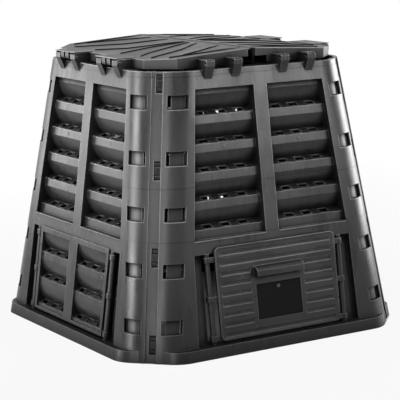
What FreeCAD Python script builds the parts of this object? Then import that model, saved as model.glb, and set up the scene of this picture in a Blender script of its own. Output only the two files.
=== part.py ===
import FreeCAD, Part
import Sketcher
import os
import re

doc = FreeCAD.newDocument("CompostBin")

# Driving sizes in millimetres. The four walls lean inwards; a place on a wall is given by its
# distance from the wall's middle, its depth behind the outer face and its height.
driving = [
    ("halfBase", 428, "half width of the bin at the ground"),
    ("wallHeight", 740, "height of the walls"),
    ("lean", 0.137, "how far a wall leans in for each unit of height"),
    ("skin", 4, "thickness of a wall's outer skin"),
    ("frameDepth", 46, "depth of the collars around the openings of a wall"),
    ("cheek", 3, "thickness of those collars"),
    ("mullionHalf", 21, "half width of the post between the two louvre columns"),
    ("topBand", 48, "height of the plain band above the louvre columns"),
    ("middleBand", 36, "height of the plain band below them"),
    ("columnGapTop", 7, "from where the rounded corner starts to a louvre column at its top"),
    ("columnGapBottom", 18, "the same at its bottom"),
    ("hatchTop", 267, "height of the top edge of the lower opening"),
    ("hatchGapTop", 18, "from where the rounded corner starts to the lower opening at its top"),
    ("hatchGapBottom", 41, "the same at its bottom"),
    ("ledgeDepth", 16, "depth of the narrow ledges down both sides of the lower opening"),
    ("ledgeGap", 10, "from a rod's axis to those ledges"),
    ("louvreRecess", 13, "how far the louvre strips lie behind the frame"),
    ("shelfDepth", 24, "depth of a louvre shelf"),
    ("shelfRise", 10, "how far a shelf climbs towards the inside"),
    ("louvreSkin", 3.2, "thickness of the louvres"),
    ("firstStep", 69.5, "height from the topmost strip to the second one"),
    ("lastStep", 25, "height of the lowest strip's top above the bottom edge"),
    ("stripHeight", 21.5, "height of a strip"),
    ("firstStrip", 15, "height of the topmost strip"),
    ("louvreRound", 95, "radius of the curved plates between strip and shelf"),
    ("slotWidth", 28, "width of a slot in a shelf"),
    ("slotPitch", 56, "distance between slots"),
    ("slotMargin", 2, "shelf left in front of and behind a slot"),
    ("lobeRadius", 102, "radius of the rounded corner"),
    ("postDepth", 12, "depth of the hollow post behind the rounded corner"),
    ("postSkin", 3, "thickness of its inner wall"),
    ("stripHalf", 21, "half width of the flat corner strip, measured along a wall"),
    ("stripSet", 2.6515, "how far the strip lies behind the rounded corners"),
    ("stripFlange", 15, "width of the strip's flange along the neighbouring wall"),
    ("seamGap", 0.5, "gap between two neighbouring walls at a corner"),
    ("windowDrop", 60, "from the wall's top to the topmost pocket in a corner post"),
    ("windowFoot", 109, "height of the top edge of the lowest pocket"),
    ("windowHeight", 37, "height of a pocket"),
    ("clipDrop", 6, "from the wall's top to the topmost clip window"),
    ("clipFoot", 22, "height of the lowest clip window's lower edge"),
    ("clipHeight", 49, "height of a clip window"),
    ("clipWidth", 18, "width of a clip window"),
    ("curbHeight", 30, "height of the foot"),
    ("curbReach", 20, "how far the foot stands out from the wall"),
    ("curbRound", 75, "radius that the foot turns its corners with"),
    ("rimHeight", 4, "thickness of the flange along the wall's top"),
    ("armWidth", 25, "width of a hinge arm"),
    ("armPitch", 86, "from an inner hinge arm to the outer one of its pair"),
    ("armMargin", 42.62, "from an outer hinge arm to where the rounded corner starts"),
    ("armReach", 18, "how far an arm stands out from the wall's top edge"),
    ("armLength", 45, "length of an arm"),
    ("armRise", 27, "height of an arm's top above the wall"),
    ("armTip", 16.5, "height of its tip"),
    ("gussetDrop", 24, "from the wall's top down to the foot of the arm's gusset"),
    ("pinRadius", 3, "radius of a lid hinge pin"),
    ("play", 0.08, "radial play of a pin or rod in its bore"),
    ("pinInset", 6.6, "from an arm's tip to the pin"),
    ("pinDrop", 10, "from the arm's top down to the pin"),
    ("lidInset", 28.6, "from the wall's top edge to the lid's edge"),
    ("lidClearance", 4, "gap between the wall and the lid's lower edge"),
    ("lidSkirt", 24, "height of the lid's skirt"),
    ("lidRise", 18, "height of the lid's middle above its outer edge"),
    ("lidSkin", 3.5, "thickness of the lid"),
    ("lidCorner", 63, "size of the lid's cut corners"),
    ("lidGap", 1.5, "gap between the two lid halves"),
    ("reliefWidth", 14, "width of the relief beside the seam at one end of each half"),
    ("veinWidth", 3.4, "width of the grooves in the lid's top"),
    ("veinDepth", 1.6, "depth of those grooves"),
    ("lidRibPitch", 100, "distance between the ribs under the lid"),
    ("padInner", 110, "from the lid's middle to the inner pads that it rests on"),
    ("padMargin", 20.02, "from the outer pads to the lid's cut corners"),
    ("padGap", 0.3, "gap between those pads and the wall below"),
    ("flapSkin", 3, "thickness of the plates over the hinge arms"),
    ("flapGap", 0.7, "gap between those plates and the arms"),
    ("knuckleRadius", 8, "radius of a lid knuckle"),
    ("knuckleWidth", 18, "width of a lid knuckle"),
    ("knuckleSpread", 13.5, "from the middle of an arm pair to each knuckle"),
    ("gripWidth", 44, "width of a finger notch in the lid"),
    ("gripHeight", 20, "height of a finger notch"),
    ("gripInset", 4, "from the lid's middle to a finger notch"),
    ("doorGap", 19, "from the door's edge to a rod's axis"),
    ("footGap", 7, "gap between the foot and the door or a vent panel"),
    ("doorLap", 14, "how far the door reaches over the wall above its opening"),
    ("doorProud", 8, "how far the door stands out from the wall"),
    ("doorSkin", 3, "thickness of its front"),
    ("doorRound", 14, "radius of its corners"),
    ("doorRim", 4, "width of the raised rim around its front"),
    ("rimDepth", 1, "height of that rim"),
    ("seatGap", 0.4, "gap between the wall and the door or a vent panel lying on it"),
    ("grooveHeight", 10, "height of a groove in the door"),
    ("grooveTop", 4, "from the top edge of the opening down to the topmost groove's middle"),
    ("grooveFoot", 20, "from the foot up to the lowest groove's middle"),
    ("grooveDepth", 1.6, "depth of a groove"),
    ("doorRibPitch", 80, "distance between the upright ribs inside the door"),
    ("ribSkin", 2.4, "thickness of the ribs inside the door and the lid"),
    ("plateHalf", 72, "half width of the bare field in the door"),
    ("plateBottom", 77, "height of its lower edge"),
    ("plateTop", 170, "height of its upper edge"),
    ("handleHalf", 75, "half width of the handle"),
    ("handleBottom", 192, "height of the handle's lower edge"),
    ("handleTop", 219, "height of its upper edge"),
    ("handleReach", 17, "how far it stands out from the door"),
    ("rodGap", 38.421, "from a rod's axis to the side of the lower opening at its top"),
    ("rodSet", 3.5, "from the wall's face back to a rod's axis"),
    ("rodRadius", 7.5, "radius of a rod"),
    ("ringWall", 3, "wall of the rings that hold a rod"),
    ("ringHeight", 14, "height of such a ring"),
    ("ringMargin", 16, "from the opening's edges to the outer rings' middles"),
    ("clawPlay", 0.5, "play of a rod between the legs of an open ring"),
    ("rodSeat", 1.5, "how deep a rod's ends are let into the wall"),
    ("rodEndPlay", 0.2, "play of a rod along its length"),
    ("ventGap", 15, "from a vent panel's edge to a rod's axis"),
    ("ventLap", 4, "how far a vent panel reaches over the wall above its opening"),
    ("ventRim", 15, "height of the rim above its louvre columns"),
    ("ventSill", 8, "height of the rim below them"),
    ("columnInner", 23, "from the panel's middle to a column"),
    ("ventStile", 11, "width of the rim beside its columns"),
    ("ventProud", 4, "how far a vent panel stands out from the wall"),
    ("ventDepth", 30, "depth of a vent panel behind the wall's face"),
    ("ventShelfDepth", 18, "depth of its shelves"),
    ("ventStep", 57, "from the top edge of its columns to the topmost shelf"),
    ("ventPitch", 73.3, "height from one of its shelves to the next"),
    ("ventStrip", 18, "height of the upright strip below a shelf"),
    ("ventRound", 68, "radius of its curved plates"),
]

# Sizes that follow from the driving ones.
following = [
    ("topHalf", "halfBase - lean * wallHeight", "half width of the bin at the top of its walls"),
    ("lobeStart", "lobeRadius + stripHalf", "from the corner line to where the rounded corner starts"),
    ("cornerCut", "lobeStart - lobeRadius * (sqrt(2) - 1) + stripSet * sqrt(2)",
     "what the flat corner strip cuts off, added up along both walls"),
    ("stileTop", "lobeStart + columnGapTop", "from the corner line to a louvre column at its top"),
    ("stileBottom", "lobeStart + columnGapBottom", "the same at its bottom"),
    ("hatchStileTop", "lobeStart + hatchGapTop", "from the corner line to the lower opening at its top"),
    ("hatchStileBottom", "lobeStart + hatchGapBottom", "the same at its bottom"),
    ("rodSide", "halfBase - lean * hatchTop - hatchStileTop - rodGap", "from the wall's middle to a rod"),
    ("ledgeEdge", "rodSide + ledgeGap", "from the wall's middle to the ledges beyond the rods"),
    ("doorHalf", "rodSide - doorGap", "half width of the door"),
    ("ventHalf", "rodSide - ventGap", "half width of a vent panel"),
    ("columnOuter", "ventHalf - ventStile", "from the panel's middle to a column's far edge"),
    ("armOuter", "topHalf - lobeStart - armMargin", "from the wall's middle to the outer hinge arms"),
    ("armInner", "armOuter - armPitch", "from the wall's middle to the inner hinge arms"),
    ("upperTop", "wallHeight - topBand", "height of the top edge of the louvre columns"),
    ("upperBottom", "hatchTop + middleBand", "height of their bottom edge"),
    ("secondStrip", "upperTop - firstStep", "height of the second strip's top edge"),
    ("louvrePitch", "(secondStrip - upperBottom - lastStep) / 4", "height from one strip to the next"),
    ("windowTop", "wallHeight - windowDrop", "height of the topmost pocket's top edge"),
    ("windowPitch", "(windowTop - windowFoot) / 4", "height from one pocket to the next"),
    ("clipPitch", "(wallHeight - clipDrop - clipHeight - clipFoot) / 3", "height from clip to clip"),
    ("armTop", "wallHeight + armRise", "height of an arm's top"),
    ("pinHeight", "armTop - pinDrop", "height of the lid hinge pins"),
    ("pinReach", "topHalf + armReach - pinInset", "from the middle to those pins"),
    ("lidHalf", "topHalf - lidInset", "half width of the closed lid"),
    ("padOuter", "lidHalf - lidCorner - padMargin", "from the lid's middle to the outer pads"),
    ("lidBottom", "wallHeight + lidClearance", "height of the lid's lower edge"),
    ("lidEdge", "lidBottom + lidSkirt", "height of the lid's top at its outer edge"),
    ("lidRidge", "lidEdge + lidRise", "height of the lid's top at its middle"),
    ("doorBottom", "curbHeight + footGap", "height of the lower edge of the door and the vents"),
    ("doorTop", "hatchTop + doorLap", "height of the door's upper edge"),
    ("groovePitch", "(hatchTop - grooveTop - curbHeight - grooveFoot) / 8", "distance between grooves"),
    ("ventTop", "hatchTop + ventLap", "height of a vent panel's upper edge"),
    ("columnTop", "ventTop - ventRim", "height of the top edge of its louvre columns"),
    ("columnBottom", "doorBottom + ventSill", "height of their bottom edge"),
    ("ventShelf", "columnTop - ventStep", "height of its topmost shelf"),
    ("ringMiddle", "(hatchTop + curbHeight) / 2", "height of the middle ring"),
    ("ringSpread", "(hatchTop - curbHeight) / 2 - ringMargin", "from it to the other two"),
]
sizes = doc.addObject("Spreadsheet::Sheet", "Sizes")
for row, (name, number, note) in enumerate(driving, start=1):
    sizes.set("A%d" % row, note)
    sizes.set("B%d" % row, str(number))
    sizes.setAlias("B%d" % row, name)
for row, (name, formula, note) in enumerate(following, start=len(driving) + 1):
    sizes.set("A%d" % row, note)
    sizes.set("B%d" % row, "=" + formula)
    sizes.setAlias("B%d" % row, name)
doc.recompute()

# Each drawing plane: how its sketch is turned, and the direction that its level is measured in.
planes = {
    "plan": (FreeCAD.Rotation(), "z"),
    "front": (FreeCAD.Rotation(FreeCAD.Vector(1, 0, 0), 90), "y"),
    "side": (FreeCAD.Rotation(FreeCAD.Vector(1, 1, 1), 120), "x"),
}


def worth(text):
    """The number that a formula of size names gives."""
    value = sizes.evalExpression(str(text))
    return float(getattr(value, "Value", value))


def tie(thing, prop, text):
    """Bind a property to a formula of size names."""
    formula = re.sub(r"\b(?!sqrt|atan|tan|cos|sin)[a-z]\w*", lambda word: "Sizes." + word.group(0), str(text))
    thing.setExpression(prop, formula)


def arc_between(start, end, radius):
    """An arc that bulges to the right of the way from start to end, or to the left below zero,
    drawn anticlockwise either way."""
    turn = 1 if radius > 0 else -1
    half = (end - start) * 0.5
    side = FreeCAD.Vector(half.y, -half.x, 0).normalize() * turn
    rise = (radius * radius - half.Length ** 2) ** 0.5
    centre = start + half - side * rise
    top = centre + side * abs(radius)
    return Part.Arc(start, top, end) if turn > 0 else Part.Arc(end, top, start)


def drawing(name, plane, rings, level="0"):
    """A sketch of closed rings of corners (x, y), or (x, y, radius) where an arc leads on."""
    turned, axis = planes[plane]
    sketch = doc.addObject("Sketcher::SketchObject", name)
    sketch.Placement = FreeCAD.Placement(FreeCAD.Vector(), turned)
    tie(sketch, ".Placement.Base." + axis, level)
    rules = []
    formulas = []
    for ring in rings:
        first = sketch.GeometryCount
        spots = [FreeCAD.Vector(worth(corner[0]), worth(corner[1]), 0) for corner in ring]
        heads = []
        for index, corner in enumerate(ring):
            start = spots[index]
            end = spots[(index + 1) % len(ring)]
            if len(corner) == 2:
                sketch.addGeometry(Part.LineSegment(start, end))
                heads.append(1)
            else:
                radius = worth(corner[2])
                sketch.addGeometry(arc_between(start, end, radius))
                heads.append(1 if radius > 0 else 2)
        for index, corner in enumerate(ring):
            line = first + index
            after = (index + 1) % len(ring)
            head = heads[index]
            rules.append(Sketcher.Constraint("Coincident", line, 3 - head, first + after, heads[after]))
            formulas.append(None)
            for kind, text in (("DistanceX", corner[0]), ("DistanceY", corner[1])):
                rules.append(Sketcher.Constraint(kind, -1, 1, line, head, worth(text)))
                formulas.append(text)
            if len(corner) == 3:
                text = corner[2] if worth(corner[2]) > 0 else "-1 * (%s)" % corner[2]
                rules.append(Sketcher.Constraint("Radius", line, worth(text)))
                formulas.append(text)
    sketch.addConstraint(rules)
    for number, text in enumerate(formulas):
        if text:
            tie(sketch, "Constraints[%d]" % number, text)
    return sketch


def pushed(name, sketch, length):
    """A prism that stands on the sketch."""
    prism = doc.addObject("Part::Extrusion", name)
    prism.Base = sketch
    prism.DirMode = "Normal"
    prism.Solid = True
    tie(prism, "LengthFwd", length)
    return prism


def spread(name, sketch, width):
    """A prism that reaches equally far to both sides of the sketch."""
    prism = pushed(name, sketch, width)
    prism.Symmetric = True
    return prism


def climbing(name, sketch, rise):
    """A prism that climbs along the corner of the bin, up and inwards."""
    prism = doc.addObject("Part::Extrusion", name)
    prism.Base = sketch
    prism.DirMode = "Custom"
    prism.Solid = True
    prism.Dir = FreeCAD.Vector(-worth("lean"), worth("lean"), 1)
    tie(prism, ".Dir.x", "-1 * lean")
    tie(prism, ".Dir.y", "lean")
    tie(prism, "LengthFwd", "(%s) * sqrt(1 + 2 * lean * lean)" % rise)
    return prism


def lofted(name, sections):
    loft = doc.addObject("Part::Loft", name)
    loft.Sections = sections
    loft.Solid = True
    loft.Ruled = True
    return loft


def rounded(name, x, y, level, radius, height):
    """An upright cylinder."""
    rod = doc.addObject("Part::Cylinder", name)
    tie(rod, "Radius", radius)
    tie(rod, "Height", height)
    for axis, text in (("x", x), ("y", y), ("z", level)):
        tie(rod, ".Placement.Base." + axis, text)
    return rod


def block(name, low, high):
    """An upright box between two of its corners."""
    box = doc.addObject("Part::Box", name)
    for axis, size, start, end in zip("xyz", ("Length", "Width", "Height"), low, high):
        tie(box, ".Placement.Base." + axis, start)
        tie(box, size, "(%s) - (%s)" % (end, start))
    return box


def joined(name, things):
    union = doc.addObject("Part::MultiFuse", name)
    union.Shapes = things
    return union


def common(name, one, other):
    shared = doc.addObject("Part::Common", name)
    shared.Base = one
    shared.Tool = other
    return shared


def without(name, solid, tool):
    rest = doc.addObject("Part::Cut", name)
    rest.Base = solid
    rest.Tool = tool
    return rest


def mirrored(name, thing):
    """The same on the left side of the wall."""
    twin = doc.addObject("Part::Mirroring", name)
    twin.Source = thing
    twin.Normal = FreeCAD.Vector(1, 0, 0)
    return twin


def moved(name, thing, x="0", y="0", z="0"):
    copy = doc.addObject("Part::Compound", name)
    copy.Links = [thing]
    for axis, text in (("x", x), ("y", y), ("z", z)):
        tie(copy, ".Placement.Base." + axis, text)
    return copy


def leaning(name, thing):
    """Something drawn upright at the ground, laid against the front wall's outer face."""
    copy = moved(name, thing, y="-1 * halfBase")
    copy.Placement.Rotation = FreeCAD.Rotation(FreeCAD.Vector(-1, 0, 0), 1)
    tie(copy, ".Placement.Rotation.Angle", "atan(lean)")
    return copy


def piece(label, things, turn=0):
    """A finished piece under its own name, turned about the middle of the bin."""
    node = doc.addObject("Part::Compound", label)
    node.Label = label
    node.Links = things
    node.Placement = FreeCAD.Placement(FreeCAD.Vector(), FreeCAD.Rotation(FreeCAD.Vector(0, 0, 1), turn))
    return node


def face(height):
    """Distance of a wall's outer face from the bin's middle."""
    return "(halfBase - lean * (%s))" % height


def behind(depth, height):
    """A point of a wall's side view, at a depth behind its outer face."""
    return "%s - %s" % (depth, face(height)), height


def slope(height):
    """How far up the leaning face a height lies."""
    return "(%s) * sqrt(1 + lean * lean)" % height


def flipped(chain):
    """The same run of corners on the left side of the wall, walked the same way round."""
    turned = []
    for index in range(len(chain) - 1, -1, -1):
        x, y = chain[index][:2]
        turned.append(("-1 * (%s)" % x, y) + chain[index - 1][2:])
    return turned


def both(ring):
    return [ring, flipped(ring)]


def lobe(radius, angle, height):
    """A point of the rounded corner in plan, at an angle from where its arc starts."""
    x = "%s - lobeStart + (%s) * sin(%s)" % (face(height), radius, angle)
    y = "lobeRadius - %s - (%s) * cos(%s)" % (face(height), radius, angle)
    return x, y


def across(cut, shift, height):
    """A point of the left corner in plan: what it cuts off there, and its shift along the cut."""
    x = "(%s + %s) / 2 - %s" % (cut, shift, face(height))
    y = "(%s - %s) / 2 - %s" % (cut, shift, face(height))
    return x, y


def column(inset="0"):
    """Outline of the right louvre column seen from the front, made smaller by an inset."""
    low = "upperBottom + (%s)" % inset
    top = "upperTop - (%s)" % inset
    return [
        ("mullionHalf + (%s)" % inset, low),
        ("%s - stileBottom - (%s)" % (face("upperBottom"), inset), low),
        ("%s - stileTop - (%s)" % (face("upperTop"), inset), top),
        ("mullionHalf + (%s)" % inset, top),
    ]


def hatch(inset="0"):
    """Outline of the lower opening seen from the front."""
    low = "curbHeight + (%s)" % inset
    top = "hatchTop - (%s)" % inset
    right = [
        ("%s - hatchStileBottom - (%s)" % (face("curbHeight"), inset), low),
        ("%s - hatchStileTop - (%s)" % (face("hatchTop"), inset), top),
    ]
    return right + flipped(right)


def through(name, rings):
    """Cutter from the middle of the bin out through the front wall."""
    return pushed(name, drawing(name + "Outline", "front", rings), "halfBase + 60")


def slab(name, front, back, low="0", high="wallHeight"):
    """A leaning plate between two depths behind the front wall's outer face."""
    ring = [behind(front, low), behind(back, low), behind(back, high), behind(front, high)]
    return spread(name, drawing(name + "Side", "side", [ring]), "2 * halfBase")


def around(radius, angle):
    """A point of the rounded corner in a section square to it, seen from the corner's centre line."""
    return "(%s) * sin(%s)" % (radius, angle), "-1 * (%s) * cos(%s)" % (radius, angle)


def corner_bar(name, ring, low, high):
    """A bar that follows the rounded corner, cut off level at two heights. Drawn upright, it is
    tilted until it runs along the corner, and then laid against the wall's face."""
    upright = pushed(name + "Bar", drawing(name + "Section", "plan", [ring], "-60"), "wallHeight + 140")
    tilted = moved(name + "Tilted", upright, "halfBase - lobeStart", "lobeRadius")
    tilted.Placement.Rotation = FreeCAD.Rotation(FreeCAD.Vector(0, -1, 0), 1)
    tie(tilted, ".Placement.Rotation.Angle", "atan(lean / sqrt(1 + lean * lean))")
    level = block(name + "Level", ("0", "-1 * halfBase", low), ("halfBase", "0", high))
    return common(name, leaning(name + "Leaning", tilted), level)


def corner_post():
    """The thick rounded post at the wall's right end."""
    inner = "lobeRadius - postDepth"
    ring = [
        around("lobeRadius", 0) + ("lobeRadius",),
        around("lobeRadius", 50),
        around(inner, 50) + ("-1 * (%s)" % inner,),
        around(inner, 0),
        ("-5", "postDepth - lobeRadius"),
        ("-5", "1 - lobeRadius"),
    ]
    end = sector("PostEndPlan", inner + " - 6", "lobeRadius + 6", 45, 60, "-5")
    bar = corner_bar("PostBar", ring, "0", "wallHeight")
    return without("Post", bar, climbing("PostEnd", end, "wallHeight + 10"))


def corner_strip():
    """The flat strip that closes the left corner, with a flange along the neighbouring wall."""
    near = "(lobeStart - lobeRadius + 3)"
    far = "(seamGap * sqrt(2) - lobeStart + lobeRadius)"
    edge = "(%s + cheek * sqrt(2))" % far
    back = "(cornerCut + stripFlange * sqrt(2))"
    plate = clip_part("StripPlate", "cornerCut", "(cornerCut + skin * sqrt(2))", far, near, "0", "wallHeight")
    flange = clip_part("StripFlange", "cornerCut", back, far, edge, "0", "wallHeight")
    return [plate, flange]


def wall_skin():
    """The flat skin between two rounded posts, and the corner strip at its left end."""
    edge = [("%s - lobeStart" % face(level), level) for level in ("-10", "wallHeight + 10")]
    flat = common("FlatSkin", slab("FlatSlab", "0", "skin"), through("FlatOutline", [edge + flipped(edge)]))
    post = corner_post()
    return joined("Skin", [flat, post, mirrored("LeftPost", post)] + corner_strip())


def sector(name, inner, outer, start, end, level):
    """Part of a ring in the rounded corner, in plan."""
    ring = [
        lobe(outer, start, level) + (outer,),
        lobe(outer, end, level),
        lobe(inner, end, level) + ("-1 * (%s)" % inner,),
        lobe(inner, start, level),
    ]
    return drawing(name, "plan", [ring], level)


def corner_cutters():
    """The hollow in each corner post, open below, and its row of pocket windows. A pocket's floor
    is the post's inner wall, with an upright gap at each of its ends."""
    floor = "lobeRadius - postDepth + postSkin"
    skin = "lobeRadius - skin"
    ring = [
        around(skin, 1) + (skin,),
        around(skin, 42),
        around(floor, 42) + ("-1 * (%s)" % floor,),
        around(floor, 1),
    ]
    cutters = [corner_bar("Hollow", ring, "-10", "wallHeight - rimHeight")]
    window = sector("WindowPlan", floor + " + 1", "lobeRadius + 3", 6, 38, "0")
    inner_gap = sector("InnerGapPlan", floor + " - 5", floor + " + 1", 6, 9, "0")
    outer_gap = sector("OuterGapPlan", floor + " - 5", floor + " + 1", 33, 38, "0")
    pocket = joined("Pocket", [
        climbing("Window", window, "windowHeight"),
        climbing("InnerGap", inner_gap, "windowHeight"),
        climbing("OuterGap", outer_gap, "windowHeight"),
    ])
    for count in range(5):
        foot = "(windowTop - windowHeight - %d * windowPitch)" % count
        cutters.append(moved("Pocket%d" % (count + 1), pocket, "-1 * lean * " + foot, "lean * " + foot, foot))
    return cutters + [mirrored("Left" + cutter.Name, cutter) for cutter in cutters]


def clip_level(count):
    return "(clipFoot + %d * clipPitch)" % (3 - count)


def clip_part(name, front, back, low, high, foot, rise):
    """A block in the left corner, between two cuts and two shifts, that climbs with the corner."""
    corners = ((front, low), (front, high), (back, high), (back, low))
    ring = [across(cut, shift, "0") for cut, shift in corners]
    bar = doc.addObject("Part::Extrusion", name)
    bar.Base = drawing(name + "Plan", "plan", [ring])
    bar.DirMode = "Custom"
    bar.Solid = True
    bar.Dir = FreeCAD.Vector(worth("lean"), worth("lean"), 1)
    tie(bar, ".Dir.x", "lean")
    tie(bar, ".Dir.y", "lean")
    tie(bar, "LengthFwd", "(%s) * sqrt(1 + 2 * lean * lean)" % rise)
    return moved(name + "Set", bar, "lean * (%s)" % foot, "lean * (%s)" % foot, foot)


def clip_windows():
    low = "(lobeStart - lobeRadius - 2 - clipWidth * sqrt(2))"
    high = "(lobeStart - lobeRadius - 2)"
    cutter = clip_part("ClipWindow", "(cornerCut - 8)", "(cornerCut + 11)", low, high, "0", "clipHeight")
    copies = []
    for count in range(4):
        foot = clip_level(count)
        copies.append(moved("ClipWindow%d" % count, cutter, "lean * " + foot, "lean * " + foot, foot))
    return copies


def louvre_fold(front, strip, shelf, depth, radius):
    """One fold of a louvre moulding in side view: from a strip's lower edge a curved plate goes
    in and down to the back of the next shelf, which then comes forward and down to the next strip."""
    back = "(%s) + (%s)" % (front, depth)
    heel = behind(back + " + 1.27 * louvreSkin", shelf + " + shelfRise - 0.47 * louvreSkin")
    outer = [
        behind(front, strip) + (radius,),
        behind(back, shelf + " + shelfRise"),
        behind(front, shelf),
    ]
    inner = [
        behind(front + " + louvreSkin", strip),
        heel + ("-1 * " + radius,),
        behind(front + " + louvreSkin", shelf + " - louvreSkin + louvreSkin * shelfRise / (%s)" % depth),
    ]
    return outer, inner


def wall_louvres():
    """The stepped louvre moulding: strips, curved plates and shelves in one folded section."""
    front = "louvreRecess"
    outer = [behind(front, "upperTop + 1.5")]
    inner = [behind(front + " + louvreSkin", "upperTop + 1.5")]
    strip = "(upperTop - firstStrip)"
    for count in range(5):
        shelf = "(secondStrip - %d * louvrePitch)" % count
        fold = louvre_fold(front, strip, shelf, "shelfDepth", "louvreRound")
        outer += fold[0]
        inner += fold[1]
        strip = "(%s - stripHeight)" % shelf
    outer.append(behind(front, "upperBottom - 1.5"))
    inner.append(behind(front + " + louvreSkin", "upperBottom - 1.5"))
    section = drawing("LouvreSection", "side", [outer + inner[::-1]])
    folded = spread("FoldedLouvres", section, "2 * halfBase")
    columns = through("LouvreColumns", both(column("-1 * cheek / 2")))
    return common("Louvres", folded, columns)


def slot_cutters(name, shelf, middle, front, back):
    """Three slots through a shelf, in each of the two columns."""
    rings = []
    for place in (-1, 0, 1):
        left = "%s + %d * slotPitch - slotWidth / 2" % (middle, place)
        right = "%s + %d * slotPitch + slotWidth / 2" % (middle, place)
        near = behind(front, shelf)[0]
        far = behind(back, shelf)[0]
        rings += both([(left, near), (right, near), (right, far), (left, far)])
    level = "%s - louvreSkin - 2" % shelf
    return pushed(name, drawing(name + "Plan", "plan", rings, level), "louvreSkin + shelfRise + 3.5")


def wall_slots():
    cutters = []
    for count in range(5):
        shelf = "(secondStrip - %d * louvrePitch)" % count
        share = "((upperTop - %s) / (upperTop - upperBottom))" % shelf
        stile = "(stileTop + (stileBottom - stileTop) * %s)" % share
        middle = "(mullionHalf + %s - %s) / 2" % (face(shelf), stile)
        front = "louvreRecess + louvreSkin + slotMargin"
        back = "louvreRecess + shelfDepth - slotMargin"
        cutters.append(slot_cutters("WallSlots%d" % (count + 1), shelf, middle, front, back))
    return cutters


def curb_ring(level, inset, end):
    """Plan of the foot at one height. It runs along the wall, turns with a round corner and fades
    out on the rounded corner of the wall, at an angle of its arc. inset moves it inwards."""
    reach = "(curbReach - (%s))" % inset
    turn = "((curbRound - (%s)) * tan(22.5))" % inset
    cut = "(lobeStart - lobeRadius + 2 * lobeRadius * (1 - cos(45)) + (%s) * sqrt(2))" % inset
    tip = "(%s - %s - %s)" % (face(level), cut, reach)
    out = "(-1 * %s - %s)" % (reach, face(level))
    base = "lobeRadius - 2 + (%s) * 2.2 / cheek" % inset
    right = [
        ("%s - %s" % (tip, turn), out, "curbRound - (%s)" % inset),
        ("%s + %s * cos(45)" % (tip, turn), "%s + %s * cos(45)" % (out, turn)),
        lobe(base, end, level) + ("-1 * (%s)" % base,),
        lobe(base, 0, level),
    ]
    return right + flipped(right)


def curb():
    """The foot, as a solid and as the hollow below its ledge."""
    solids = []
    kinds = (("Outer", "0", 43, "curbHeight"), ("Inner", "cheek", 24, "curbHeight - cheek"))
    for name, inset, end, rise in kinds:
        low = drawing(name + "CurbFoot", "plan", [curb_ring("0", inset, end)])
        high = drawing(name + "CurbTop", "plan", [curb_ring(rise, inset, end)], rise)
        solids.append(lofted(name + "Curb", [low, high]))
    return solids


def side_ledges():
    """Narrow ledges set back in the lower opening, beyond the rods."""
    ring = [
        ("ledgeEdge", "curbHeight - 1"),
        ("%s - hatchStileBottom + 1.5" % face("curbHeight"), "curbHeight - 1"),
        ("%s - hatchStileTop + 1.5" % face("hatchTop"), "hatchTop + 1"),
        ("ledgeEdge", "hatchTop + 1"),
    ]
    plate = slab("LedgeSlab", "ledgeDepth", "ledgeDepth + cheek")
    return common("SideLedges", plate, through("LedgeOutlines", both(ring)))


def hinge_arm():
    """One hinge arm with its gusset and its pin bore, at the wall's middle."""
    tip = "-1 * %s - armReach" % face("wallHeight")
    ring = [
        (tip, "armTop - armTip"),
        behind("0.5", "(wallHeight - gussetDrop)"),
        behind("skin - 0.5", "(wallHeight - gussetDrop)"),
        behind("skin - 0.5", "wallHeight - 1"),
        (tip + " + armLength", "wallHeight - 1"),
        (tip + " + armLength", "armTop"),
        (tip + " + 4", "armTop"),
        (tip, "armTop - 4"),
    ]
    arm = spread("ArmBlock", drawing("ArmSide", "side", [ring]), "armWidth")
    bore = doc.addObject("Part::Cylinder", "PinBore")
    tie(bore, "Radius", "pinRadius + play")
    tie(bore, "Height", "armWidth + 2")
    bore.Placement = FreeCAD.Placement(FreeCAD.Vector(), FreeCAD.Rotation(FreeCAD.Vector(0, 1, 0), 90))
    tie(bore, ".Placement.Base.x", "-1 * armWidth / 2 - 1")
    tie(bore, ".Placement.Base.y", tip + " + pinInset")
    tie(bore, ".Placement.Base.z", "pinHeight")
    return without("Arm", arm, bore)


def rod(name, side, radius, play):
    """A rod that stands in the lower opening, its ends let into the wall. The same, thicker by a
    play, cuts its two bores."""
    foot = slope("curbHeight - rodSeat")
    length = "%s - %s - %s" % (slope("hatchTop + rodSeat"), foot, play)
    return leaning(name, rounded(name + "Bar", "%d * rodSide" % side, "rodSet", foot, radius, length))


def rod_pair(name, radius, play):
    return [rod("Right" + name, 1, radius, play), rod("Left" + name, -1, radius, play)]


def wall():
    """The whole front wall: one moulding."""
    collars = common("Collars", slab("CollarSlab", "0", "frameDepth"),
                     through("CollarOutlines", both(column("-1 * cheek")) + [hatch("-1 * cheek")]))
    openings = through("Openings", both(column()) + [hatch()])
    plain = without("OpenSkin", joined("SkinAndCollars", [wall_skin(), collars]), openings)
    post = without("HollowCorners", plain, joined("CornerCutters", corner_cutters()))
    outer_curb, inner_curb = curb()
    edge = "%s - lobeStart" % face("wallHeight")
    rim = block("Rim", ("-1 * (%s)" % edge, "1 - " + face("wallHeight"), "wallHeight - rimHeight"),
                (edge, "frameDepth - " + face("wallHeight"), "wallHeight"))
    arm = hinge_arm()
    arms = []
    for place, middle in enumerate(("-1 * armOuter", "-1 * armInner", "armInner", "armOuter")):
        arms.append(moved("Arm%d" % (place + 1), arm, middle))
    full = joined("FullWall", [post, wall_louvres(), outer_curb, side_ledges(), rim] + arms)
    bores = rod_pair("Bore", "rodRadius + play", "0")
    cutters = joined("WallCutters", wall_slots() + clip_windows() + bores + [inner_curb])
    return without("Wall", full, cutters)


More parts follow.
